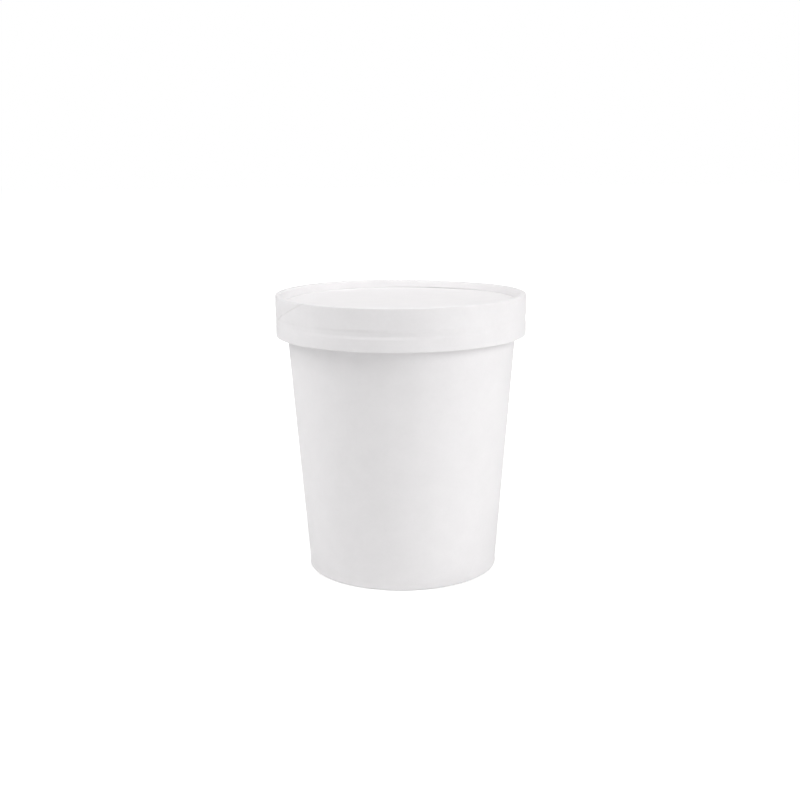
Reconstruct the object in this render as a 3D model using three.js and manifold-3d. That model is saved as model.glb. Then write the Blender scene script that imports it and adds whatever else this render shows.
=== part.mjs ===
// Paper ice cream tub of about 950 ml with its lid on, blank and shut.
// Units are millimetres, +Z is up, and the origin is the centre of the foot's plane.
// The front faces -Y. Angles round the tub start at the front and grow towards +X.

import * as THREE from 'three';
import { mergeVertices } from 'three/addons/utils/BufferGeometryUtils.js';
import Module from 'manifold-3d';

// Driving dimensions of the whole tub
const HEIGHT = 134;
const LID_DIAMETER = 120;
const LID_SKIRT = 19.9;
const FOOT_DIAMETER = 91.4;
const BODY_DIAMETER_AT_SKIRT = 109.6;

// Paperboard
const PLY = 0.35;
const CLEARANCE = 0.1;

// Foot and base of the cup
const FOOT_WALL = 1.4;
const FOOT_ROUNDING = 0.35;
const BASE_RECESS = 9;
const BASE_THICKNESS = 0.45;
const BASE_CORNER = 0.8;
const BASE_TURNDOWN = 0.5;
const FOOT_FOLD_HEIGHT = 7.6;

// Rolled rim of the cup, under the lid: the straight wall ends a little below it
const RIM_ROLL_RADIUS = 1.4;
const RIM_ROLL_CENTRE_RADIUS = 57.15;
const STRAIGHT_WALL_TOP = 129;

// Side seam of the cup, at the back
const SIDE_SEAM_STEP_DEGREES = 0.3;
const SIDE_SEAM_FADE_COLUMNS = 6;

// Lid: skirt, channel over the rolled rim, and recessed disc
const SKIRT_WALL = 0.9;
const LID_TOP_WALL = 0.6;
const LID_CORNER = 0.6;
const LID_INNER_RADIUS = 55.2;
const LID_INNER_WALL = 0.45;
const LID_INNER_CORNER = 2.4;
const DISC_RECESS = 3.85;
const DISC_THICKNESS = 0.6;
const DISC_EDGE_GAP = 0.3;
const DISC_EDGE_ROUNDING = 0.15;

// Curled hem at the lower edge of the skirt
const HEM_RADIUS = 0.95;

// Shallow ring pressed into the skirt, measured down from the top of the lid
const GROOVE_TOP = 9.9;
const GROOVE_BOTTOM = 14;
const GROOVE_SLOPE = 1.1;
const GROOVE_DEPTH = 0.4;

// Slanted end of the skirt's outer ply, which winds down and towards the left
const WIND_START_DEGREES = -46.4;
const WIND_DEGREES_PER_MM = -2.4;
const WIND_CUT_RADIUS = 0.28;
const WIND_CUT_SIDES = 6;
const WIND_CUT_STEPS = 26;

// Facets round the tub: multiples of four keep the box centred
const COLUMNS = 96;
const BASE_COLUMNS = 64;

// Vertices nearer than this are one vertex, in millimetres
const MERGE_DISTANCE = 1e-4;

const LID_RADIUS = LID_DIAMETER / 2;
const FOOT_RADIUS = FOOT_DIAMETER / 2;
const SKIRT_BOTTOM = HEIGHT - LID_SKIRT;
const TAPER = (BODY_DIAMETER_AT_SKIRT / 2 - FOOT_RADIUS) / SKIRT_BOTTOM;
const DISC_TOP = HEIGHT - DISC_RECESS;
const DISC_BOTTOM = DISC_TOP - DISC_THICKNESS;
const RIM_ROLL_HEIGHT = HEIGHT - LID_TOP_WALL - CLEARANCE - RIM_ROLL_RADIUS;
const COLUMN_ANGLE = 2 * Math.PI / COLUMNS;

const wasm = await Module();
wasm.setup();

const paperboard = (name, colour, roughness) => new THREE.MeshStandardMaterial({
  name,
  color: colour,
  roughness,
  metalness: 0,
});

function at(radius, height) {
  return new THREE.Vector2(radius, height);
}

function arc(centreRadius, centreHeight, radius, fromDegrees, toDegrees, steps) {
  const from = THREE.MathUtils.degToRad(fromDegrees);
  const to = THREE.MathUtils.degToRad(toDegrees);
  const clockwise = toDegrees < fromDegrees;
  const curve = new THREE.EllipseCurve(centreRadius, centreHeight, radius, radius, from, to, clockwise);
  return curve.getPoints(steps);
}

// Outer radius of the tapered sidewall at a height
function wallRadius(height) {
  return FOOT_RADIUS + TAPER * height;
}

function isOnSidewall(radius, height) {
  const isOutside = radius > wallRadius(height) - FOOT_ROUNDING / 2;
  return isOutside && height < STRAIGHT_WALL_TOP + CLEARANCE;
}

// A turned solid about Z, with its first column at the front
function turned(profile, columns) {
  const geometry = new THREE.LatheGeometry(profile, columns);
  geometry.rotateX(Math.PI / 2);
  return geometry;
}

// Only positions are kept, so that vertices which share a place become one
function bareGeometry(geometry) {
  const bare = geometry.clone();
  bare.deleteAttribute('normal');
  bare.deleteAttribute('uv');
  return mergeVertices(bare, MERGE_DISTANCE);
}

function toSolid(geometry) {
  const bare = bareGeometry(geometry);
  return new wasm.Manifold(new wasm.Mesh({
    numProp: 3,
    vertProperties: new Float32Array(bare.attributes.position.array),
    triVerts: new Uint32Array(bare.index.array),
  }));
}

function toGeometry(solid) {
  const mesh = solid.getMesh();
  const geometry = new THREE.BufferGeometry();
  geometry.setAttribute('position', new THREE.BufferAttribute(mesh.vertProperties, 3));
  geometry.setIndex(new THREE.BufferAttribute(mesh.triVerts, 1));
  geometry.computeVertexNormals();
  return geometry;
}

// Outline of the cup: recessed underside, rounded foot, tapered wall, rolled rim and shut mouth
function cupProfile() {
  const undersideHeight = BASE_RECESS + BASE_THICKNESS + CLEARANCE;
  const mouthRadius = RIM_ROLL_CENTRE_RADIUS - RIM_ROLL_RADIUS;
  const mouthHeight = DISC_BOTTOM - CLEARANCE;
  const pocketRadius = wallRadius(BASE_RECESS) - FOOT_WALL + PLY;
  const footInner = FOOT_RADIUS - FOOT_WALL;
  return [
    at(0, undersideHeight),
    at(pocketRadius, undersideHeight),
    at(pocketRadius, FOOT_FOLD_HEIGHT),
    at(wallRadius(FOOT_FOLD_HEIGHT) - FOOT_WALL, FOOT_FOLD_HEIGHT),
    ...arc(footInner + FOOT_ROUNDING, FOOT_ROUNDING, FOOT_ROUNDING, 180, 270, 2),
    ...arc(FOOT_RADIUS - FOOT_ROUNDING, FOOT_ROUNDING, FOOT_ROUNDING, 270, 360, 2),
    at(wallRadius(STRAIGHT_WALL_TOP), STRAIGHT_WALL_TOP),
    ...arc(RIM_ROLL_CENTRE_RADIUS, RIM_ROLL_HEIGHT, RIM_ROLL_RADIUS, -105, 180, 8),
    at(mouthRadius, mouthHeight),
    at(0, mouthHeight),
  ];
}

// The sidewall stands one ply higher just past the seam, and sinks back over a few columns.
// The first column past the seam is drawn up to it, so that the edge is a sharp step.
function raiseSideSeam(geometry) {
  const position = geometry.attributes.position;
  const seam = Math.PI;
  const stepTop = seam + THREE.MathUtils.degToRad(SIDE_SEAM_STEP_DEGREES);
  const fadeWidth = SIDE_SEAM_FADE_COLUMNS * COLUMN_ANGLE;
  const fadeEnd = seam + COLUMN_ANGLE + fadeWidth;
  for (let i = 0; i < position.count; i += 1) {
    const x = position.getX(i);
    const y = position.getY(i);
    const z = position.getZ(i);
    const radius = Math.hypot(x, y);
    const angle = (Math.atan2(x, -y) + 2 * Math.PI) % (2 * Math.PI);
    const column = Math.round((angle - seam) / COLUMN_ANGLE);
    const isPastSeam = column >= 1 && column <= 1 + SIDE_SEAM_FADE_COLUMNS;
    if (isPastSeam && radius > 0) {
      const along = (column - 1) / SIDE_SEAM_FADE_COLUMNS;
      const moved = stepTop + along * (fadeEnd - stepTop);
      const rise = isOnSidewall(radius, z) ? PLY * (1 - THREE.MathUtils.smoothstep(along, 0, 1)) : 0;
      const raised = radius + rise;
      position.setXYZ(i, raised * Math.sin(moved), -raised * Math.cos(moved), z);
    }
  }
}

function cupBody() {
  const geometry = turned(cupProfile(), COLUMNS);
  raiseSideSeam(geometry);
  return geometry;
}

// The base is a shallow dish upside down, whose turned edge stands in the foot
function baseDisc() {
  const outer = wallRadius(BASE_RECESS) - FOOT_WALL + PLY - CLEARANCE;
  const top = BASE_RECESS + BASE_THICKNESS;
  const edgeBottom = top - BASE_CORNER - BASE_TURNDOWN;
  const outerCentre = outer - BASE_CORNER;
  return turned([
    at(0, BASE_RECESS),
    ...arc(outerCentre, top - BASE_CORNER, BASE_CORNER - BASE_THICKNESS, 90, 0, 2),
    at(outer - BASE_THICKNESS, edgeBottom),
    at(outer, edgeBottom),
    ...arc(outerCentre, top - BASE_CORNER, BASE_CORNER, 0, 90, 3),
    at(0, top),
  ], BASE_COLUMNS);
}

// Closed ring outline of the lid's band, from the hem up the outside, over the top and back inside.
// Its channel follows the cup's rolled rim at one clearance.
function bandProfile() {
  const inner = LID_INNER_RADIUS;
  const grooveRadius = LID_RADIUS - GROOVE_DEPTH;
  const hemCentre = LID_RADIUS - HEM_RADIUS;
  const hemHeight = SKIRT_BOTTOM + HEM_RADIUS;
  const underTop = HEIGHT - LID_TOP_WALL;
  const hem = arc(hemCentre, hemHeight, HEM_RADIUS, 150, 360, 7);
  return [
    ...hem,
    at(LID_RADIUS, HEIGHT - GROOVE_BOTTOM),
    at(grooveRadius, HEIGHT - GROOVE_BOTTOM + GROOVE_SLOPE),
    at(grooveRadius, HEIGHT - GROOVE_TOP - GROOVE_SLOPE),
    at(LID_RADIUS, HEIGHT - GROOVE_TOP),
    ...arc(LID_RADIUS - LID_CORNER, HEIGHT - LID_CORNER, LID_CORNER, 0, 90, 4),
    ...arc(inner + LID_INNER_CORNER, HEIGHT - LID_INNER_CORNER, LID_INNER_CORNER, 90, 180, 6),
    at(inner, DISC_BOTTOM),
    at(inner + LID_INNER_WALL, DISC_BOTTOM),
    ...arc(RIM_ROLL_CENTRE_RADIUS, RIM_ROLL_HEIGHT, RIM_ROLL_RADIUS + CLEARANCE, 180, 90, 5),
    at(LID_RADIUS - SKIRT_WALL, underTop),
    at(LID_RADIUS - SKIRT_WALL, hemHeight + HEM_RADIUS),
    hem[0].clone(),
  ];
}

// The line where the skirt's outer ply ends, from the top of the skirt to its hem
class WindingLine extends THREE.Curve {
  getPoint(t, target = new THREE.Vector3()) {
    const depth = t * LID_SKIRT;
    const angle = THREE.MathUtils.degToRad(WIND_START_DEGREES + WIND_DEGREES_PER_MM * depth);
    return target.set(LID_RADIUS * Math.sin(angle), -LID_RADIUS * Math.cos(angle), HEIGHT - depth);
  }
}

// A fine round cut along that line
function windingCut() {
  const section = new THREE.Shape();
  section.absarc(0, 0, WIND_CUT_RADIUS, 0, 2 * Math.PI, false);
  return new THREE.ExtrudeGeometry(section, {
    steps: WIND_CUT_STEPS,
    curveSegments: WIND_CUT_SIDES / 2,
    extrudePath: new WindingLine(),
  });
}

function lidBand() {
  const ring = toSolid(turned(bandProfile(), COLUMNS));
  return toGeometry(ring.subtract(toSolid(windingCut())));
}

function lidDisc() {
  const outer = LID_INNER_RADIUS - DISC_EDGE_GAP;
  return turned([
    at(0, DISC_BOTTOM),
    at(outer, DISC_BOTTOM),
    at(outer, DISC_TOP - DISC_EDGE_ROUNDING),
    at(outer - DISC_EDGE_ROUNDING, DISC_TOP),
    at(0, DISC_TOP),
  ], COLUMNS);
}

const coatedBoard = paperboard('coated_board', 0xe8e7e7, 0.5);
const baseBoard = paperboard('base_board', 0xe5e4e2, 0.6);
const lidBoard = paperboard('lid_board', 0xe8e7e7, 0.55);
const discBoard = paperboard('disc_board', 0xe8e6e7, 0.6);

const tub = new THREE.Group();

function addPiece(name, geometry, material) {
  const piece = new THREE.Mesh(geometry, material);
  piece.name = name;
  tub.add(piece);
}

addPiece('cup_body', cupBody(), coatedBoard);
addPiece('base_disc', baseDisc(), baseBoard);
addPiece('lid_band', lidBand(), lidBoard);
addPiece('lid_disc', lidDisc(), discBoard);

export default tub;
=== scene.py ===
"""Looks of the blank paper ice cream cup: fine surfaces, paperboard finishes, studio and camera.

Lengths are metres, and MM turns millimetres into metres. Angles round the cup start at the front,
which faces -Y, and grow towards +X. Every surface is a grid: rows follow a profile, columns go round.
"""
import math

import bpy
import numpy as np
from mathutils import Matrix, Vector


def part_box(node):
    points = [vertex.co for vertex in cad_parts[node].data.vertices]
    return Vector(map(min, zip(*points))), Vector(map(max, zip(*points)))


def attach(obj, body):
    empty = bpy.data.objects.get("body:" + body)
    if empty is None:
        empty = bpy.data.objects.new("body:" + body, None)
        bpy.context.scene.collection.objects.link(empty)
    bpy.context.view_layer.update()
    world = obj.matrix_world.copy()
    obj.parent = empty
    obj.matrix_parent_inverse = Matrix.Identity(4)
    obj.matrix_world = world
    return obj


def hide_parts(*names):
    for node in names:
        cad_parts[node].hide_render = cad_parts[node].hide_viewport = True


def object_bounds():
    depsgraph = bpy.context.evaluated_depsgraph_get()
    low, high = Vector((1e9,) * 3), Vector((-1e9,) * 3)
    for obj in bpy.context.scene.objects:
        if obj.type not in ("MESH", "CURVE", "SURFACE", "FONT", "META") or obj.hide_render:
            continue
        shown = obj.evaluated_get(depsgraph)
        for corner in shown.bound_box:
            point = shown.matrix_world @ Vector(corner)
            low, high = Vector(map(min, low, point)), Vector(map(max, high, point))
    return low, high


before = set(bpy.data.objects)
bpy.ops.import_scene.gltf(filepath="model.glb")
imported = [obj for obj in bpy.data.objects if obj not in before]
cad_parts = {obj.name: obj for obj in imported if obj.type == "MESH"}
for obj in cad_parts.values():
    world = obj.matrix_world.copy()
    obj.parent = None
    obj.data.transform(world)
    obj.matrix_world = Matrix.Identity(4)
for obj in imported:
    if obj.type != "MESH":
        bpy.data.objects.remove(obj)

CAD_LOW, CAD_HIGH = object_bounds()

MM = 0.001
FULL_TURN = 2 * math.pi

# Sizes taken from the frame
BAND_LOW, BAND_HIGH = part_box("lid_band")
DISC_LOW, DISC_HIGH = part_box("lid_disc")
BASE_LOW, BASE_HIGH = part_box("base_disc")
CUP_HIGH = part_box("cup_body")[1]
LID_RADIUS = BAND_HIGH.x
LID_TOP = BAND_HIGH.z
SKIRT_BOTTOM = BAND_LOW.z
ROLL_OUTER_RADIUS = CUP_HIGH.x
ROLL_TOP = CUP_HIGH.z

# Cup: hollow foot and tapered wall, as in the frame
FOOT_RADIUS = 45.7 * MM
FOOT_WALL = 1.4 * MM
FOOT_ROUNDING = 0.35 * MM
FOLD_TOP = 7.6 * MM
FOLD_ROUNDING = 0.1 * MM
WALL_RADIUS_AT_SKIRT = 54.8 * MM
STRAIGHT_WALL_TOP = 129 * MM
TAPER = (WALL_RADIUS_AT_SKIRT - FOOT_RADIUS) / SKIRT_BOTTOM
PLY = 0.35 * MM
WALL_MIDDLE = 60 * MM
HIDDEN_GAP = 0.1 * MM

# The foot's wall is folded in: its end shows outside as a faint step, and the foot flares a little
FOLD_STEP = 0.05 * MM
FOLD_STEP_LOW = 2.2 * MM
FOLD_STEP_HIGH = 2.9 * MM
FOOT_FLARE = 0.28 * MM
FOOT_FLARE_HEIGHT = 2.6 * MM
KNURLS = 128
KNURL_DEPTH = 0.09 * MM

# The rolled rim, a little slimmer than the frame's, so that the lid's inner side can slope
ROLL_RADIUS = 1.1 * MM
MOUTH_RADIUS = 55.75 * MM

# The base, and the ring pressed into its underside
BASE_THICKNESS = 0.45 * MM
BASE_CORNER = 0.8 * MM
BASE_WAVES = 0.03 * MM
BASE_MIDDLE_ROWS = 26
BASE_OUTER_ROWS = 16
PRESS_RING_RADIUS = 37 * MM
PRESS_RING_WIDTH = 0.9 * MM
PRESS_RING_HEIGHT = 0.12 * MM

# Lid: channel, corners and hem
LID_INNER_RADIUS = 55.2 * MM
LID_INNER_WALL = 0.45 * MM
LID_TOP_WALL = 0.6 * MM
SKIRT_WALL = 0.9 * MM
LID_CORNER = 0.6 * MM
LID_INNER_CORNER = 1.6 * MM
LID_INNER_SLOPE = math.radians(68)
LID_INNER_FOOT = 0.15 * MM
ROLL_CLEARANCE = 0.1 * MM
HEM_RADIUS = 0.95 * MM
HEM_CORNER = 0.55 * MM

# Ring groove of the skirt: depths below the lid's top, and how deep it is all round and in front
GROOVE_EDGE_TOP = 10.45 * MM
GROOVE_EDGE_BOTTOM = 13.45 * MM
GROOVE_EDGE_SOFTNESS = 0.85 * MM
GROOVE_DEPTH = 0.15 * MM
GROOVE_DEPTH_AT_FRONT = 0.56 * MM
GROOVE_FRONT = math.radians(-3)
GROOVE_FRONT_WIDTH = math.radians(26)

# The line on the skirt where its outer ply ends, winding down and towards the left
WIND_START = math.radians(-46.7)
WIND_PER_METRE = math.radians(-2.396) / MM
WIND_PLY = 0.12 * MM
WIND_PLY_FADE = 11 * MM
WIND_GAP_DEPTH = 0.24 * MM
WIND_GAP_WIDTH = 0.2 * MM
WIND_GAP_LONG = 8 * MM
WIND_WANDER = math.radians(0.35)
WIND_WANDER_LONG = 2.9 * MM
WIND_WANDER_WIDTH = 0.3
WIND_CUT_PLACE = 0.02 * MM
WIND_CUT_WIDTH = 0.05 * MM

# Side seam of the cup, at the back: a ply's cut edge with a crease before it, wandering with height
SIDE_SEAM_ANGLE = math.pi
SIDE_SEAM_STEP = 0.07 * MM
SIDE_SEAM_FADE_START = 1 * MM
SIDE_SEAM_FADE = 13 * MM
SIDE_SEAM_CREASE = 0.1 * MM
SIDE_SEAM_CREASE_PLACE = -0.08 * MM
SIDE_SEAM_CREASE_WIDTH = 0.1 * MM
SIDE_SEAM_CUT_PLACE = 0.03 * MM
SIDE_SEAM_CUT_WIDTH = 0.06 * MM
SIDE_SEAM_WANDER = 0.12 * MM
SIDE_SEAM_WANDER_LONG = 17 * MM
SIDE_SEAM_WANDER_WIDTH = 6 * MM

# The lid's rim isn't quite even: it is highest at the left back, and dips at the right back
RIM_UNEVENNESS = 0.38 * MM
RIM_SWING_PEAK = 0.65
RIM_DIP = 0.48 * MM
RIM_DIP_ANGLE = math.radians(158)
RIM_DIP_WIDTH = math.radians(30)
DISC_SINK = 0.45 * MM

# The disc reaches this much nearer to the rim than the frame's, so the gap round it is narrow
DISC_REACH = 0.14 * MM
DISC_ROUNDING = 0.08 * MM
DISC_CROWN = 0.15 * MM
DISC_SETTLE = 0.2 * MM
DISC_WAVES = 0.04 * MM
DISC_EDGE_WAVES = 0.07 * MM

# The sidewall leans a little to the right, most of all just below the lid
WALL_LEAN = 0.26 * MM

# The skirt's unevenness swings about a radius this much inside the frame's
SKIRT_INSET = 0.03 * MM

# Gentle waves of the board: long ones and fine ones on the wall and the skirt
WALL_WAVES = 0.05 * MM
WALL_FINE_WAVES = 0.012 * MM
SKIRT_WAVES = 0.015 * MM
SKIRT_FINE_WAVES = 0.006 * MM
RIM_TOP_WAVES = 0.02 * MM
RIM_TOP_INSET = 0.03 * MM

# Grid sizes
COLUMNS = 640
BASE_COLUMNS = 360
DISC_COLUMNS = 480
SEAM_COLUMNS = 41
SEAM_ZONE = 1.6 * MM


# Profiles: arrays of (radius, height), from the axis below, out, up and back in

def line(start, end, steps):
    """Points evenly spaced on a straight line, without the last one."""
    share = np.linspace(0, 1, steps, endpoint=False)[:, None]
    return np.array(start) * (1 - share) + np.array(end) * share


def arc(centre, radius, from_degrees, to_degrees, steps):
    """Points evenly spaced on a circle's arc, with both ends."""
    angle = np.radians(np.linspace(from_degrees, to_degrees, steps + 1))
    return np.array(centre) + radius * np.stack([np.cos(angle), np.sin(angle)], 1)


def round_columns(seam_angle, radius):
    """Angles of the columns: evenly spaced round the cup, and crowded near the seam.

    The crowded ones lie at signed squares of an even spacing, so the finest are at the seam itself.
    """
    zone = SEAM_ZONE / radius
    even = np.linspace(zone, FULL_TURN - zone, COLUMNS)
    share = np.linspace(-1, 1, SEAM_COLUMNS)[1:-1]
    near = zone * np.sign(share) * share ** 2
    return seam_angle + np.concatenate([near, even])


def from_seam(angle, seam_angle):
    """Signed angle from the seam, between minus and plus half a turn."""
    return (angle - seam_angle + math.pi) % FULL_TURN - math.pi


def smooth(value, low, high):
    """Smooth step: 0 below low, 1 above high, and a cubic between them."""
    share = np.clip((value - low) / (high - low), 0, 1)
    return share * share * (3 - 2 * share)


def waves(angle, height, seed, turns, height_scale):
    """Gentle unevenness between about -1 and 1: a sum of cosines round and up the cup."""
    draw = np.random.default_rng(seed)
    total = np.zeros(np.broadcast(angle, height).shape)
    for turn in turns:
        phase, lean, size = draw.uniform(0, FULL_TURN), draw.uniform(-1, 1), draw.uniform(0.5, 1)
        total += size * np.cos(turn * angle + phase + lean * FULL_TURN * height / height_scale)
    return total / math.sqrt(len(turns))


def surface_points(radius, angle, height):
    """Places radius, angle and height grids in space, with angle 0 facing -Y."""
    return np.stack([radius * np.sin(angle), -radius * np.cos(angle), height], -1)


def add_surface(name, points, closed_profile=False, masks=None):
    """Makes a mesh piece from a grid of points whose columns wrap round.

    Row i and row i + 1 are joined by quads that face outwards. A closed profile also joins the last
    row to the first. An open one starts and ends on the axis: its end rows are fans about a pole.
    Each mask is a grid of numbers kept as a float attribute of the same name.
    """
    rows, columns = points.shape[:2]
    vertices = points.reshape(-1, 3)
    index = np.arange(rows * columns).reshape(rows, columns)
    upper = np.roll(index, -1, 0) if closed_profile else index[1:]
    lower = index if closed_profile else index[:-1]
    quads = np.stack([lower, np.roll(lower, -1, 1), np.roll(upper, -1, 1), upper], -1).reshape(-1, 4)
    fans = np.zeros((0, 3), int)
    if not closed_profile:
        poles = [points[0].mean(0) * (0, 0, 1), points[-1].mean(0) * (0, 0, 1)]
        vertices = np.concatenate([vertices, poles])
        first, last = index[0], index[-1]
        first_pole, last_pole = rows * columns, rows * columns + 1
        bottom = np.stack([np.full(columns, first_pole), np.roll(first, -1), first], -1)
        top = np.stack([np.full(columns, last_pole), last, np.roll(last, -1)], -1)
        fans = np.concatenate([bottom, top])
    mesh = bpy.data.meshes.new(name)
    corners = np.concatenate([quads.ravel(), fans.ravel()]).astype(np.int32)
    sizes = np.concatenate([np.full(len(quads), 4), np.full(len(fans), 3)])
    starts = np.concatenate([[0], np.cumsum(sizes)[:-1]]).astype(np.int32)
    mesh.vertices.add(len(vertices))
    mesh.loops.add(len(corners))
    mesh.polygons.add(len(sizes))
    mesh.vertices.foreach_set("co", vertices.astype(np.float32).ravel())
    mesh.loops.foreach_set("vertex_index", corners)
    mesh.polygons.foreach_set("loop_start", starts)
    mesh.polygons.foreach_set("use_smooth", np.ones(len(sizes), bool))
    mesh.update(calc_edges=True)
    mesh.validate()
    for mask_name, values in (masks or {}).items():
        padded = np.concatenate([values.ravel(), np.zeros(len(vertices) - values.size)])
        mask = mesh.attributes.new(mask_name, "FLOAT", "POINT")
        mask.data.foreach_set("value", padded.astype(np.float32))
    piece = bpy.data.objects.new(name, mesh)
    bpy.context.scene.collection.objects.link(piece)
    return piece


def finish_piece(piece, node, material):
    """Gives a piece its finish and its place on the cup, and hides the frame's node that it stands for."""
    piece.data.materials.append(material)
    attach(piece, "root")
    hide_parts(node)
    return piece


# The cup

def wall_radius(height):
    """Outer radius of the tapered wall, which grows evenly with height."""
    return FOOT_RADIUS + TAPER * height


def cup_profile():
    """Profile of the cup, and the stretch number of each point.

    Stretches: 0 underside and inner foot, 1 foot's lower edge, 2 outer wall, 3 rolled rim and mouth.
    """
    underside = BASE_HIGH.z + HIDDEN_GAP
    pocket = wall_radius(BASE_HIGH.z - BASE_THICKNESS) - FOOT_WALL + PLY
    fold_radius = wall_radius(FOLD_TOP) - FOOT_WALL
    foot_inner = FOOT_RADIUS - FOOT_WALL
    roll_centre = (ROLL_OUTER_RADIUS - ROLL_RADIUS, ROLL_TOP - ROLL_RADIUS)
    roll_inner = roll_centre[0] - ROLL_RADIUS
    mouth_height = DISC_LOW.z - DISC_SINK - HIDDEN_GAP
    wall_heights = np.concatenate([
        np.linspace(FOOT_ROUNDING, 5 * MM, 20, endpoint=False),
        np.linspace(5 * MM, STRAIGHT_WALL_TOP, 44),
    ])
    stretches = [
        (0, line((pocket * 0.5, underside), (pocket, underside), 2)),
        (0, line((pocket, underside), (pocket, FOLD_TOP), 3)),
        (0, line((pocket, FOLD_TOP), (fold_radius + FOLD_ROUNDING, FOLD_TOP), 2)),
        (0, arc((fold_radius + FOLD_ROUNDING, FOLD_TOP - FOLD_ROUNDING), FOLD_ROUNDING, 90, 180, 3)),
        (0, line((fold_radius, FOLD_TOP - 2 * FOLD_ROUNDING), (foot_inner, FOOT_ROUNDING * 1.3), 14)),
        (1, arc((foot_inner + FOOT_ROUNDING, FOOT_ROUNDING), FOOT_ROUNDING, 180, 270, 5)),
        (1, arc((FOOT_RADIUS - FOOT_ROUNDING, FOOT_ROUNDING), FOOT_ROUNDING, 270, 350, 6)),
        (2, np.stack([wall_radius(wall_heights), wall_heights], 1)),
        (3, arc(roll_centre, ROLL_RADIUS, -105, 180, 18)),
        (3, line((roll_inner, roll_centre[1] - 0.2 * MM), (MOUTH_RADIUS, mouth_height), 4)),
        (3, line((MOUTH_RADIUS, mouth_height), (MOUTH_RADIUS * 0.5, mouth_height), 3)),
    ]
    profile = np.concatenate([points for _, points in stretches])
    stretch = np.concatenate([np.full(len(points), number) for number, points in stretches])
    return profile, stretch


def cup_wall():
    """The cup: its profile turned round the axis.

    The outer wall stands one ply higher past the side seam, and the rise fades out round the cup. The
    seam wanders as a sine of height, and a bell curve makes the crease before it. The foot flares and
    has a faint step, both smooth steps of height. The inner foot is knurled: its radius is a cosine
    round the cup. The wall leans to the right in proportion to its height. The rolled rim follows the
    lid's uneven top.
    """
    profile, stretch = cup_profile()
    radius, height = profile[:, :1], profile[:, 1:]
    number = stretch[:, None]
    angle = round_columns(SIDE_SEAM_ANGLE, wall_radius(WALL_MIDDLE))[None, :] + 0 * height
    past = from_seam(angle, SIDE_SEAM_ANGLE) * wall_radius(WALL_MIDDLE)
    near_seam = np.exp(-(past / SIDE_SEAM_WANDER_WIDTH) ** 2)
    angle = angle + SIDE_SEAM_WANDER / FOOT_RADIUS * np.sin(height / SIDE_SEAM_WANDER_LONG) * near_seam
    outside = (number == 2) | ((number == 1) & (radius > FOOT_RADIUS - FOOT_ROUNDING))
    rise = PLY * smooth(past, 0, SIDE_SEAM_STEP) * (1 - smooth(past, SIDE_SEAM_FADE_START, SIDE_SEAM_FADE))
    crease = SIDE_SEAM_CREASE * np.exp(-((past - SIDE_SEAM_CREASE_PLACE) / SIDE_SEAM_CREASE_WIDTH) ** 2)
    uneven = WALL_WAVES * waves(angle, height, 7, (2, 3, 5), 150 * MM)
    uneven += WALL_FINE_WAVES * waves(angle, height, 11, (9, 14, 23, 31), 60 * MM)
    uneven *= smooth(height, 0, 12 * MM)
    fold_step = FOLD_STEP * (1 - smooth(height, FOLD_STEP_LOW, FOLD_STEP_HIGH))
    flare = FOOT_FLARE * (1 - smooth(height, 0, FOOT_FLARE_HEIGHT))
    at_foot = (fold_step + flare) * smooth(height, 0, 0.3 * MM)
    outward = np.where(outside, rise - crease + uneven + at_foot, 0)
    on_inner_foot = (number == 0) & (height < FOLD_TOP - 0.3 * MM)
    knurl = KNURL_DEPTH * 0.5 * (1 + np.cos(KNURLS * angle)) * smooth(height, 0.3 * MM, 1.5 * MM)
    outward = outward - np.where(on_inner_foot, knurl * (1 - smooth(height, 6 * MM, 7 * MM)), 0)
    cut = np.where(outside, np.exp(-((past - SIDE_SEAM_CUT_PLACE) / SIDE_SEAM_CUT_WIDTH) ** 2), 0)
    fold_edge = (number == 0) & (height > FOLD_TOP - 0.25 * MM) & (height <= FOLD_TOP)
    cut = np.maximum(cut, np.where(fold_edge, 1.0, 0.0))
    lowered = np.where(number == 3, rim_height(angle, height, STRAIGHT_WALL_TOP), 0)
    points = surface_points(radius + outward, angle, height + lowered)
    lean = np.minimum(height / SKIRT_BOTTOM, 1) * (1 - smooth(height, SKIRT_BOTTOM, STRAIGHT_WALL_TOP))
    points[:, :, 0] += WALL_LEAN * lean
    piece = add_surface("cup_wall", points, masks={"cut_edge": cut})
    return finish_piece(piece, "cup_body", board_material("coated_board", COATED_BOARD))


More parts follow.
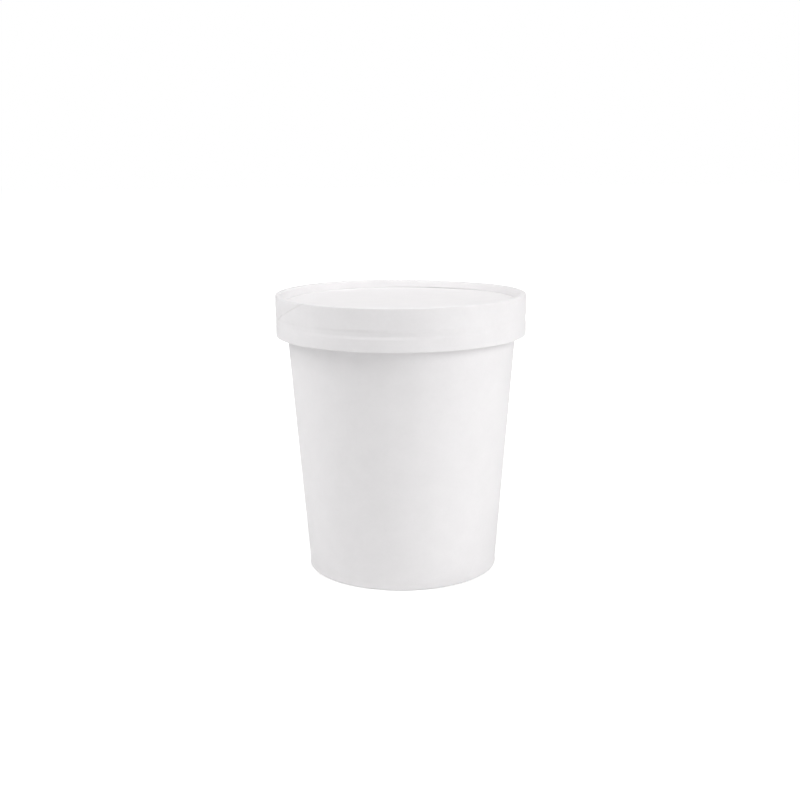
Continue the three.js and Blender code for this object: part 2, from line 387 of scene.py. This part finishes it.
def cup_base():
    """The base: a shallow dish upside down, turned round the axis.

    Its underside ripples a little and has one pressed ring, a bell curve of the radius.
    """
    top, outer, edge_bottom = BASE_HIGH.z, BASE_HIGH.x, BASE_LOW.z
    thickness, corner = BASE_THICKNESS, BASE_CORNER
    flat_bottom = top - thickness
    centre = (outer - corner, top - corner)
    profile = np.concatenate([
        line((1.5 * MM, flat_bottom), (outer - 6 * MM, flat_bottom), BASE_MIDDLE_ROWS),
        line((outer - 6 * MM, flat_bottom), (centre[0], flat_bottom), BASE_OUTER_ROWS),
        arc(centre, corner - thickness, 90, 0, 6),
        line((outer - thickness, centre[1] - 0.05 * MM), (outer - thickness, edge_bottom), 3),
        line((outer - thickness, edge_bottom), (outer, edge_bottom), 2),
        line((outer, edge_bottom), (outer, centre[1]), 3),
        arc(centre, corner, 0, 90, 6),
        line((centre[0] - 1 * MM, top), (1.5 * MM, top), 4),
    ])
    radius, height = profile[:, :1], profile[:, 1:]
    angle = np.linspace(0, FULL_TURN, BASE_COLUMNS, endpoint=False)[None, :] + 0 * height
    on_underside = (np.arange(len(profile)) < BASE_MIDDLE_ROWS + BASE_OUTER_ROWS)[:, None]
    ripple = BASE_WAVES * waves(angle, radius, 5, (2, 3, 4, 7), 60 * MM) * smooth(radius, 0, 20 * MM)
    ripple = ripple * (1 - smooth(radius, 38 * MM, 43 * MM))
    press_ring = PRESS_RING_HEIGHT * np.exp(-((radius - PRESS_RING_RADIUS) / PRESS_RING_WIDTH) ** 2)
    lift = np.where(on_underside, ripple + press_ring, 0)
    cut = np.where((height < edge_bottom + 0.1 * MM) & (radius > outer - 0.6 * MM), 1.0, 0.0) + 0 * angle
    points = surface_points(radius + 0 * angle, angle, height + lift)
    piece = add_surface("cup_base", points, masks={"cut_edge": cut})
    return finish_piece(piece, "base_disc", board_material("base_board", BASE_BOARD))


# The lid

def right_back_dip(angle):
    """Share between 0 and 1 that the rim and disc dip, a bell curve round the lid."""
    return np.exp(-(from_seam(angle, RIM_DIP_ANGLE) / RIM_DIP_WIDTH) ** 2)


def rim_height(angle, height, lowest):
    """Height change that makes the lid's rim uneven: a sine round the lid that grows towards the back.

    The dip at the right back is added. The sum is never above zero, and it fades out from the lid's
    top down to the lowest height given.
    """
    swing = -np.sin(angle) * (1 - np.cos(angle)) / 2
    change = RIM_UNEVENNESS * (swing - RIM_SWING_PEAK) - RIM_DIP * right_back_dip(angle)
    return change * smooth(height, lowest, LID_TOP)


def band_profile():
    """Closed profile of the lid's band, and the stretch number of each point.

    The inner side slopes down to the disc, tangent to the rounded top. The channel runs along an arc
    round the cup's rolled rim.
    Stretches: 0 hem, 1 outer skirt, 2 outer corner and top, 3 inner wall, 4 hidden channel and skirt.
    """
    hem_centre = (LID_RADIUS - HEM_RADIUS, SKIRT_BOTTOM + HEM_RADIUS)
    hem_corner_centre = (LID_RADIUS - HEM_CORNER, SKIRT_BOTTOM + HEM_CORNER)
    corner_centre = (LID_RADIUS - LID_CORNER, LID_TOP - LID_CORNER)
    slope_foot = (LID_INNER_RADIUS, DISC_HIGH.z + LID_INNER_FOOT)
    across, up = math.cos(LID_INNER_SLOPE), math.sin(LID_INNER_SLOPE)
    slope_length = (LID_TOP - slope_foot[1] - LID_INNER_CORNER * (1 - across)) / up
    slope_top = (slope_foot[0] + slope_length * across, slope_foot[1] + slope_length * up)
    inner_centre = (slope_top[0] + LID_INNER_CORNER * up, LID_TOP - LID_INNER_CORNER)
    slope_degrees = 90 + math.degrees(LID_INNER_SLOPE)
    under_top = LID_TOP - LID_TOP_WALL
    channel_inner = LID_INNER_RADIUS + LID_INNER_WALL
    roll_centre = (ROLL_OUTER_RADIUS - ROLL_RADIUS, ROLL_TOP - ROLL_RADIUS)
    channel_arc = arc(roll_centre, ROLL_RADIUS + ROLL_CLEARANCE, slope_degrees, 90, 8)
    skirt_inner = LID_RADIUS - SKIRT_WALL
    depths = np.sort(np.concatenate([
        np.linspace(LID_CORNER, LID_TOP - hem_corner_centre[1], 36)[1:-1],
        GROOVE_EDGE_TOP + np.linspace(-1, 1, 13) * GROOVE_EDGE_SOFTNESS,
        GROOVE_EDGE_BOTTOM + np.linspace(-1, 1, 13) * GROOVE_EDGE_SOFTNESS,
    ]))[::-1]
    stretches = [
        (0, arc(hem_centre, HEM_RADIUS, 165, 270, 10)),
        (0, arc(hem_corner_centre, HEM_CORNER, 270, 360, 8)),
        (1, np.stack([np.full(len(depths), LID_RADIUS), LID_TOP - depths], 1)),
        (2, arc(corner_centre, LID_CORNER, 0, 90, 8)),
        (2, line((corner_centre[0] - 0.5 * MM, LID_TOP), (inner_centre[0], LID_TOP), 4)),
        (2, arc(inner_centre, LID_INNER_CORNER, 90, slope_degrees, 12)[:-1]),
        (3, line(slope_top, slope_foot, 10)),
        (3, line(slope_foot, (LID_INNER_RADIUS, DISC_LOW.z), 3)),
        (4, line((LID_INNER_RADIUS, DISC_LOW.z), (channel_inner, DISC_LOW.z), 1)),
        (4, line((channel_inner, DISC_LOW.z), channel_arc[0], 4)),
        (4, channel_arc),
        (4, line((roll_centre[0] + 0.3 * MM, under_top), (skirt_inner, under_top), 3)),
        (4, line((skirt_inner, under_top), (skirt_inner, hem_centre[1] + HEM_RADIUS), 10)),
    ]
    profile = np.concatenate([points for _, points in stretches])
    stretch = np.concatenate([np.full(len(points), number) for number, points in stretches])
    return profile, stretch


def lid_band():
    """The lid's rim and skirt: its closed profile turned round the axis.

    Columns lean with the winding line, so one column lies on it from top to hem. To the left of the
    line the skirt lies one thin ply lower, which fades out, and a fine gap runs along the line and
    closes towards the hem. The ring groove is the difference of two smooth steps in depth, and a bell
    curve round the lid makes it deepest at the front.
    """
    profile, stretch = band_profile()
    radius, height = profile[:, :1], profile[:, 1:]
    number = stretch[:, None]
    straight = round_columns(0.0, LID_RADIUS)[None, :]
    near_line = np.exp(-(straight / WIND_WANDER_WIDTH) ** 2)
    wander = WIND_WANDER * np.sin(height / WIND_WANDER_LONG) * near_line
    angle = straight + WIND_START + WIND_PER_METRE * (LID_TOP - height) + wander
    past = from_seam(straight, 0.0) * LID_RADIUS
    on_skirt = (number == 0) & (radius > LID_RADIUS - HEM_RADIUS) | (number == 1) | (number == 2)
    on_skirt = on_skirt * smooth(radius, LID_RADIUS - LID_CORNER, LID_RADIUS - 0.3 * MM)
    sunk = WIND_PLY * (1 - smooth(past, -0.05 * MM, 0)) * smooth(past, -WIND_PLY_FADE, -0.5 * MM)
    depth = LID_TOP - height
    gap = WIND_GAP_DEPTH * np.exp(-((past + 1.5 * WIND_GAP_WIDTH) / WIND_GAP_WIDTH) ** 2)
    gap = gap * (1 - 0.7 * smooth(depth, 0.4 * WIND_GAP_LONG, WIND_GAP_LONG))
    half = GROOVE_EDGE_SOFTNESS
    above_groove = 1 - smooth(depth, GROOVE_EDGE_TOP - half, GROOVE_EDGE_TOP + half)
    above_ledge = 1 - smooth(depth, GROOVE_EDGE_BOTTOM - half, GROOVE_EDGE_BOTTOM + half)
    at_front = np.exp(-(from_seam(angle, GROOVE_FRONT) / GROOVE_FRONT_WIDTH) ** 2)
    groove_depth = GROOVE_DEPTH + (GROOVE_DEPTH_AT_FRONT - GROOVE_DEPTH) * at_front
    groove = groove_depth * (above_ledge - above_groove)
    uneven = SKIRT_WAVES * waves(angle, height, 3, (2, 3, 5, 8), 80 * MM)
    uneven = uneven + SKIRT_FINE_WAVES * waves(angle, height, 19, (17, 26, 41), 12 * MM)
    outward = on_skirt * (uneven - sunk - gap - groove - SKIRT_INSET)
    top_dip = RIM_TOP_WAVES * waves(angle, height, 23, (3, 6, 11, 19), 80 * MM) - RIM_TOP_INSET
    on_top = (number == 2) * smooth(height, LID_TOP - 0.6 * MM, LID_TOP)
    outer_side = (number < 3) & (radius > LID_RADIUS - 1.5 * LID_CORNER)
    lowest = np.where(outer_side, SKIRT_BOTTOM, DISC_HIGH.z)
    raised = height + rim_height(angle, height, lowest) + on_top * (top_dip - sunk)
    cut = on_skirt * np.exp(-((past - WIND_CUT_PLACE) / WIND_CUT_WIDTH) ** 2)
    points = surface_points(radius + outward, angle, raised)
    piece = add_surface("lid_rim_and_skirt", points, closed_profile=True, masks={"cut_edge": cut})
    return finish_piece(piece, "lid_band", board_material("lid_board", LID_BOARD))


def lid_panel():
    """The lid's disc: nearly flat, crowned a little by a cosine of the radius, with a long ripple.

    Beside the rim's dip it sinks by a smooth step of the radius. Its edge isn't quite round.
    """
    top, bottom, outer = DISC_HIGH.z, DISC_LOW.z, DISC_HIGH.x + DISC_REACH
    rounding = DISC_ROUNDING
    profile = np.concatenate([
        line((1.5 * MM, bottom), (outer, bottom), 4),
        line((outer, bottom), (outer, top - rounding), 3),
        arc((outer - rounding, top - rounding), rounding, 0, 90, 4),
        line((outer - 0.3 * MM, top), (outer - 6 * MM, top), 16),
        line((outer - 6 * MM, top), (1.5 * MM, top), 40),
    ])
    radius, height = profile[:, :1], profile[:, 1:]
    angle = np.linspace(0, FULL_TURN, DISC_COLUMNS, endpoint=False)[None, :] + 0 * height
    on_top = height > top - rounding
    ripple = DISC_WAVES * waves(angle, radius, 29, (2, 3, 4), 90 * MM) * smooth(radius, 0, 30 * MM)
    ripple = ripple * (1 - smooth(radius, outer - 5 * MM, outer))
    crown = DISC_CROWN * np.cos(math.pi / 2 * radius / outer) - DISC_SETTLE
    lowered = np.where(on_top, ripple + crown * (1 - smooth(radius, outer - 4 * MM, outer)), 0)
    sink = DISC_SINK * right_back_dip(angle) * smooth(radius, 0.4 * outer, outer)
    edge_waves = DISC_EDGE_WAVES * waves(angle, height, 31, (1, 2, 5, 9), 1.0)
    edge_gap = edge_waves * smooth(radius, outer - 2 * MM, outer)
    points = surface_points(radius - np.abs(edge_gap), angle, height + lowered - sink)
    piece = add_surface("lid_panel", points)
    return finish_piece(piece, "lid_disc", board_material("disc_board", DISC_BOARD))


# Materials

COATED_BOARD = {
    "colour": (0.815, 0.801, 0.808), "roughness": 0.45, "mottle": 0.012, "grain": 0.10, "gloss": 0.40,
}
LID_BOARD = {
    "colour": (0.815, 0.801, 0.808), "roughness": 0.55, "mottle": 0.014, "grain": 0.12, "gloss": 0.30,
}
DISC_BOARD = {
    "colour": (0.815, 0.800, 0.806), "roughness": 0.60, "mottle": 0.012, "grain": 0.16, "gloss": 0.30,
}
BASE_BOARD = {
    "colour": (0.785, 0.777, 0.765), "roughness": 0.66, "mottle": 0.020, "grain": 0.22, "gloss": 0.30,
}
CUT_EDGE_COLOUR = (0.68, 0.645, 0.575)
RELIEF_HEIGHT = 0.05 * MM

# Patterns of the board, in patches per metre
CLOUDS = 110
FLECKS = 650
FIBRES = 1900
ORANGE_PEEL = 420


class NodeSheet:
    """Adds shader nodes to one material and joins their sockets."""

    def __init__(self, material):
        self.nodes = material.node_tree.nodes
        self.links = material.node_tree.links
        self.nodes.clear()

    def add(self, kind, **settings):
        """A new node with the given properties."""
        node = self.nodes.new(kind)
        for name, value in settings.items():
            setattr(node, name, value)
        return node

    def join(self, source, target):
        self.links.new(source, target)


def noise(sheet, coordinates, scale, detail, roughness, stretch=(1, 1, 1)):
    """A noise pattern on Object coordinates, with scale in patches per metre, stretched along axes."""
    mapping = sheet.add("ShaderNodeMapping")
    mapping.inputs["Scale"].default_value = stretch
    sheet.join(coordinates, mapping.inputs["Vector"])
    pattern = sheet.add("ShaderNodeTexNoise")
    pattern.inputs["Scale"].default_value = scale
    pattern.inputs["Detail"].default_value = detail
    pattern.inputs["Roughness"].default_value = roughness
    sheet.join(mapping.outputs["Vector"], pattern.inputs["Vector"])
    return pattern.outputs["Fac"]


def spread(sheet, value, low, high):
    """Maps a pattern's usual range of 0.3 to 0.7 onto low to high."""
    ranged = sheet.add("ShaderNodeMapRange")
    ranged.inputs["From Min"].default_value = 0.3
    ranged.inputs["From Max"].default_value = 0.7
    ranged.inputs["To Min"].default_value = low
    ranged.inputs["To Max"].default_value = high
    sheet.join(value, ranged.inputs["Value"])
    return ranged.outputs["Result"]


def calculate(sheet, operation, first, second):
    """One sum or product of two values, each a socket or a number."""
    node = sheet.add("ShaderNodeMath", operation=operation)
    for socket, value in zip(node.inputs, (first, second)):
        if isinstance(value, (int, float)):
            socket.default_value = value
        else:
            sheet.join(value, socket)
    return node.outputs["Value"]


def board_material(name, finish):
    """Paperboard: cloudy formation and fine fibres in colour, gloss and relief, with raw cut edges.

    Brightness is one plus small noises at 9 mm and 1.5 mm. Fibres are a finer noise drawn out up
    the cup. The cut_edge attribute turns the surface to bare, warmer and rougher board.
    """
    material = bpy.data.materials.new(name)
    material.use_nodes = True
    sheet = NodeSheet(material)
    coordinates = sheet.add("ShaderNodeTexCoord").outputs["Object"]
    clouds = noise(sheet, coordinates, CLOUDS, 3, 0.55)
    flecks = noise(sheet, coordinates, FLECKS, 2, 0.5)
    fibres = noise(sheet, coordinates, FIBRES, 3, 0.65, stretch=(1, 1, 0.35))
    orange_peel = noise(sheet, coordinates, ORANGE_PEEL, 2, 0.5)
    mottle = finish["mottle"]
    brightness = calculate(sheet, "ADD", spread(sheet, clouds, 1 - mottle, 1 + mottle),
                           spread(sheet, flecks, -mottle * 0.5, mottle * 0.5))
    tint = sheet.add("ShaderNodeMix", data_type="RGBA", blend_type="MULTIPLY")
    tint.inputs["Factor"].default_value = 1
    tint.inputs[6].default_value = (*finish["colour"], 1)
    sheet.join(brightness, tint.inputs[7])
    edge_mask = sheet.add("ShaderNodeAttribute", attribute_name="cut_edge").outputs["Fac"]
    edge_amount = calculate(sheet, "MULTIPLY", edge_mask, spread(sheet, fibres, 0.55, 0.95))
    edge_mix = sheet.add("ShaderNodeMix", data_type="RGBA")
    edge_mix.inputs[7].default_value = (*CUT_EDGE_COLOUR, 1)
    sheet.join(edge_amount, edge_mix.inputs["Factor"])
    sheet.join(tint.outputs[2], edge_mix.inputs[6])
    roughness = spread(sheet, clouds, finish["roughness"] - 0.05, finish["roughness"] + 0.05)
    roughness = calculate(sheet, "ADD", roughness, spread(sheet, fibres, -0.04, 0.04))
    roughness = calculate(sheet, "ADD", roughness, calculate(sheet, "MULTIPLY", edge_mask, 0.3))
    relief = calculate(sheet, "ADD", calculate(sheet, "MULTIPLY", fibres, 0.4), orange_peel)
    bump = sheet.add("ShaderNodeBump")
    bump.inputs["Strength"].default_value = finish["grain"]
    bump.inputs["Distance"].default_value = RELIEF_HEIGHT
    sheet.join(relief, bump.inputs["Height"])
    shader = sheet.add("ShaderNodeBsdfPrincipled")
    shader.inputs["Specular IOR Level"].default_value = finish["gloss"]
    sheet.join(edge_mix.outputs[2], shader.inputs["Base Color"])
    sheet.join(roughness, shader.inputs["Roughness"])
    sheet.join(bump.outputs["Normal"], shader.inputs["Normal"])
    output = sheet.add("ShaderNodeOutputMaterial")
    sheet.join(shader.outputs["BSDF"], output.inputs["Surface"])
    return material


def floor_material():
    """Pale matt studio floor. Pictures show it washed out to white, and more so away from the cup."""
    material = bpy.data.materials.new("studio_floor")
    material.use_nodes = True
    sheet = NodeSheet(material)
    coordinates = sheet.add("ShaderNodeTexCoord").outputs["Object"]
    distance = sheet.add("ShaderNodeVectorMath", operation="LENGTH")
    sheet.join(coordinates, distance.inputs[0])
    wash = sheet.add("ShaderNodeMapRange", interpolation_type="SMOOTHSTEP")
    wash.inputs["From Min"].default_value = FLOOR_WASH_START
    wash.inputs["From Max"].default_value = FLOOR_WASH_END
    wash.inputs["To Min"].default_value = FLOOR_WASH_NEAR
    wash.inputs["To Max"].default_value = FLOOR_WASH_FAR
    sheet.join(distance.outputs["Value"], wash.inputs["Value"])
    rays = sheet.add("ShaderNodeLightPath")
    seen_wash = calculate(sheet, "MULTIPLY", wash.outputs["Result"], rays.outputs["Is Camera Ray"])
    shader = sheet.add("ShaderNodeBsdfPrincipled")
    shader.inputs["Base Color"].default_value = FLOOR_COLOUR
    shader.inputs["Roughness"].default_value = 0.9
    shader.inputs["Specular IOR Level"].default_value = 0.0
    shader.inputs["Emission Color"].default_value = (1, 1, 1, 1)
    sheet.join(seen_wash, shader.inputs["Emission Strength"])
    output = sheet.add("ShaderNodeOutputMaterial")
    sheet.join(shader.outputs["BSDF"], output.inputs["Surface"])
    return material


# Studio

FLOOR_SIZE = 12.0
FLOOR_COLOUR = (0.90, 0.90, 0.90, 1)
FLOOR_WASH_NEAR = 0.3
FLOOR_WASH_FAR = 1.0
FLOOR_WASH_START = 0.15
FLOOR_WASH_END = 0.8
CUP_CENTRE = np.array([0.0, 0.0, LID_TOP / 2])

# Soft boxes: azimuth and elevation in degrees, and power in watts
SOFT_BOX_DISTANCE = 1.4
SOFT_BOX_SIZE = 0.8
SOFT_BOXES = {
    "front": (0, 6, 3.2),
    "left": (-90, 25, 5.3),
    "high_left": (-90, 50, 5.4),
    "high_left_front": (-60, 50, 2.2),
    "top_left": (-60, 70, 3.7),
    "top_right": (60, 70, 3.7),
    "right_front": (60, 25, 10.3),
    "right": (90, 25, 1.5),
    "high_right_back": (150, 50, 5.2),
}


def add_floor():
    """A wide flat floor at the cup's foot."""
    mesh = bpy.data.meshes.new("floor")
    half = FLOOR_SIZE / 2
    corners = [(-half, -half, 0), (half, -half, 0), (half, half, 0), (-half, half, 0)]
    mesh.from_pydata(corners, [], [(0, 1, 2, 3)])
    mesh.materials.append(floor_material())
    floor = bpy.data.objects.new("floor", mesh)
    floor.location.z = CAD_LOW.z - 0.02 * MM
    bpy.context.scene.collection.objects.link(floor)


def add_soft_box(name, azimuth, elevation, power):
    """A square area light that faces the middle of the cup from that direction."""
    turn, lift = math.radians(azimuth), math.radians(elevation)
    back = np.array([math.sin(turn) * math.cos(lift), -math.cos(turn) * math.cos(lift), math.sin(lift)])
    data = bpy.data.lights.new(name, "AREA")
    data.shape = "SQUARE"
    data.size = SOFT_BOX_SIZE
    data.energy = power
    light = bpy.data.objects.new(name, data)
    light.matrix_world = looking(CUP_CENTRE + back * SOFT_BOX_DISTANCE, -back, np.array([0.0, 0.0, 1.0]))
    bpy.context.scene.collection.objects.link(light)


def looking(place, forward, up):
    """Matrix of a light or camera at a place, whose view runs along forward with up towards its top."""
    right = np.cross(forward, up)
    right = right / np.linalg.norm(right)
    true_up = np.cross(right, forward)
    matrix = np.eye(4)
    matrix[:3, 0], matrix[:3, 1], matrix[:3, 2], matrix[:3, 3] = right, true_up, -forward, place
    return Matrix(matrix.tolist())


def add_surroundings():
    """Surroundings that the camera sees as plain white, and that leave the light to the soft boxes."""
    world = bpy.data.worlds.new("surroundings")
    world.use_nodes = True
    sheet = NodeSheet(world)
    rays = sheet.add("ShaderNodeLightPath")
    white = sheet.add("ShaderNodeBackground")
    white.inputs["Color"].default_value = (1, 1, 1, 1)
    sheet.join(rays.outputs["Is Camera Ray"], white.inputs["Strength"])
    output = sheet.add("ShaderNodeOutputWorld")
    sheet.join(white.outputs["Background"], output.inputs["Surface"])
    bpy.context.scene.world = world


# Camera, as the photo was taken: straight in front, a little above the lid, looking down

CAMERA_BACK = 573.67 * MM
CAMERA_HEIGHT = 200.71 * MM
CAMERA_PITCH = 0.20578
CAMERA_PAN = -0.00131
CAMERA_ROLL = -0.0084
FOCAL_PIXELS = 1200.7
IMAGE_PIXELS = 800
SENSOR_WIDTH = 36.0


def add_camera():
    """The camera, turned by pan, tipped down by pitch and rolled about its own view."""
    level = np.array([math.sin(CAMERA_PAN), math.cos(CAMERA_PAN), 0.0])
    upright = np.array([0.0, 0.0, 1.0])
    forward = math.cos(CAMERA_PITCH) * level - math.sin(CAMERA_PITCH) * upright
    top = math.sin(CAMERA_PITCH) * level + math.cos(CAMERA_PITCH) * upright
    side = np.cross(forward, top)
    rolled_top = math.cos(CAMERA_ROLL) * top - math.sin(CAMERA_ROLL) * side
    data = bpy.data.cameras.new("camera")
    data.sensor_width = SENSOR_WIDTH
    data.lens = FOCAL_PIXELS * SENSOR_WIDTH / IMAGE_PIXELS
    camera = bpy.data.objects.new("camera", data)
    camera.matrix_world = looking(np.array([0.0, -CAMERA_BACK, CAMERA_HEIGHT]), forward, rolled_top)
    bpy.context.scene.collection.objects.link(camera)
    bpy.context.scene.camera = camera


def set_view():
    """Plain colours: what is white in the scene is white in the picture."""
    settings = bpy.context.scene.view_settings
    settings.view_transform = "Standard"
    settings.look = "None"
    settings.exposure = 0
    settings.gamma = 1


cup_wall()
cup_base()
lid_band()
lid_panel()
add_floor()
add_surroundings()
for box_name, box in SOFT_BOXES.items():
    add_soft_box(box_name, *box)
add_camera()
set_view()
